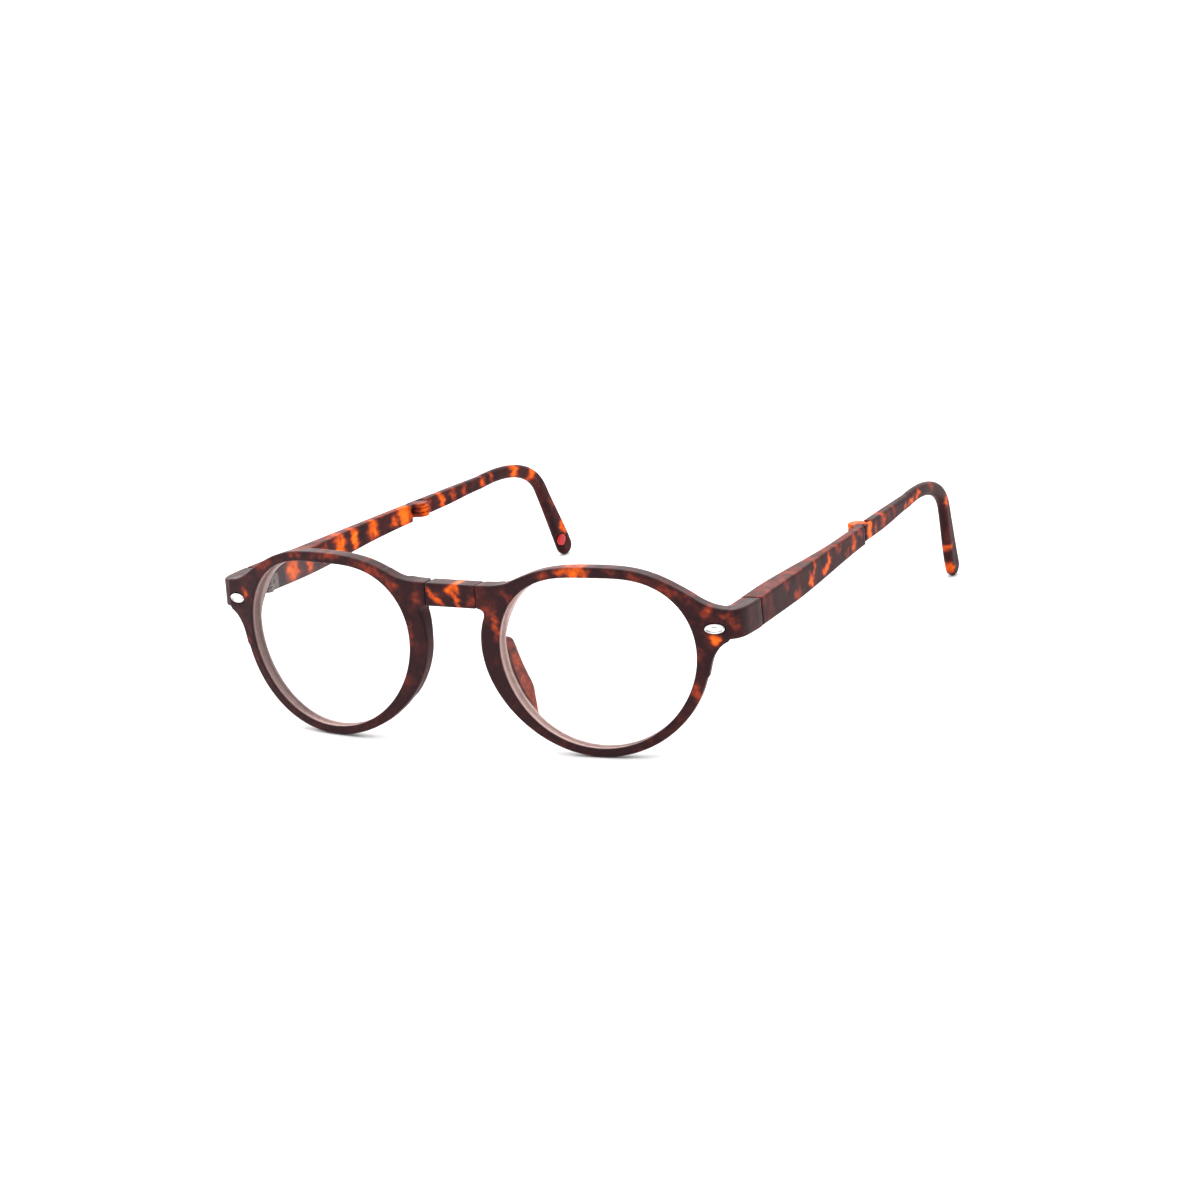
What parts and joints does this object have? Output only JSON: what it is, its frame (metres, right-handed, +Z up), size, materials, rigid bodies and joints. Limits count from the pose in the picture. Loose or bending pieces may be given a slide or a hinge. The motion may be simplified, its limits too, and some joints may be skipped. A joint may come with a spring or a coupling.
{
  "type": "folding reading glasses",
  "caption": "Round-lens reading glasses that fold at the bridge, at the temple hinges and in the middle of each temple.",
  "frame": {"origin": "bottom centre of the open glasses, standing on the rims and the temple tips", "axes": "+Z up, the front faces -Y, the temples run towards +Y, the wearer's left is +X"},
  "size_m": [0.136, 0.1358, 0.0416],
  "materials": {
    "frame": "satin soft-touch, dark tortoiseshell",
    "temple": "satin soft-touch, tortoiseshell with amber bands",
    "lens": "clear and polished",
    "steel": "turned",
    "bright_metal": "polished",
    "red_enamel": "glossy"
  },
  "bodies": {
    "bridge": {"bridge_link": "frame"},
    "left_front": {"left_rim": "frame", "left_lens": "lens", "left_bridge_pin": "steel", "left_end_rivet": "bright_metal", "left_hinge_front_leaf": "steel", "left_hinge_screw": "bright_metal"},
    "right_front": {"right_rim": "frame", "right_lens": "lens", "right_bridge_pin": "steel", "right_end_rivet": "bright_metal", "right_hinge_front_leaf": "steel", "right_hinge_screw": "bright_metal"},
    "left_temple": {"left_temple_front": "temple", "left_hinge_temple_leaf": "steel", "left_fold_pin": "steel"},
    "right_temple": {"right_temple_front": "temple", "right_hinge_temple_leaf": "steel", "right_fold_pin": "steel"},
    "left_ear_half": {"left_temple_rear": "temple"},
    "right_ear_half": {"right_temple_rear": "temple", "right_tip_dot": "red_enamel"}
  },
  "joints": [
    {"name": "left_bridge_fold", "type": "hinge", "parent": "bridge", "child": "left_front", "pos_m": [0.0082, -0.06265, 0.03394], "axis": [0, 0.0891, 0.996], "range_deg": [0, 40]},
    {"name": "right_bridge_fold", "type": "hinge", "parent": "bridge", "child": "right_front", "pos_m": [-0.0082, -0.06265, 0.03394], "axis": [0, 0.0891, 0.996], "range_deg": [-40, 0]},
    {"name": "left_temple_hinge", "type": "hinge", "parent": "left_front", "child": "left_temple", "pos_m": [0.06165, -0.04913, 0.02814], "axis": [0, 0.0368, 0.9993], "range_deg": [0, 85]},
    {"name": "right_temple_hinge", "type": "hinge", "parent": "right_front", "child": "right_temple", "pos_m": [-0.06165, -0.04913, 0.02814], "axis": [0, 0.0368, 0.9993], "range_deg": [-85, 0]},
    {"name": "left_temple_fold", "type": "hinge", "parent": "left_temple", "child": "left_ear_half", "pos_m": [0.05965, 0.01157, 0.02805], "axis": [0, 0.0368, 0.9993], "range_deg": [0, 176]},
    {"name": "right_temple_fold", "type": "hinge", "parent": "right_temple", "child": "right_ear_half", "pos_m": [-0.05965, 0.01157, 0.02805], "axis": [0, 0.0368, 0.9993], "range_deg": [-176, 0]}
  ]
}
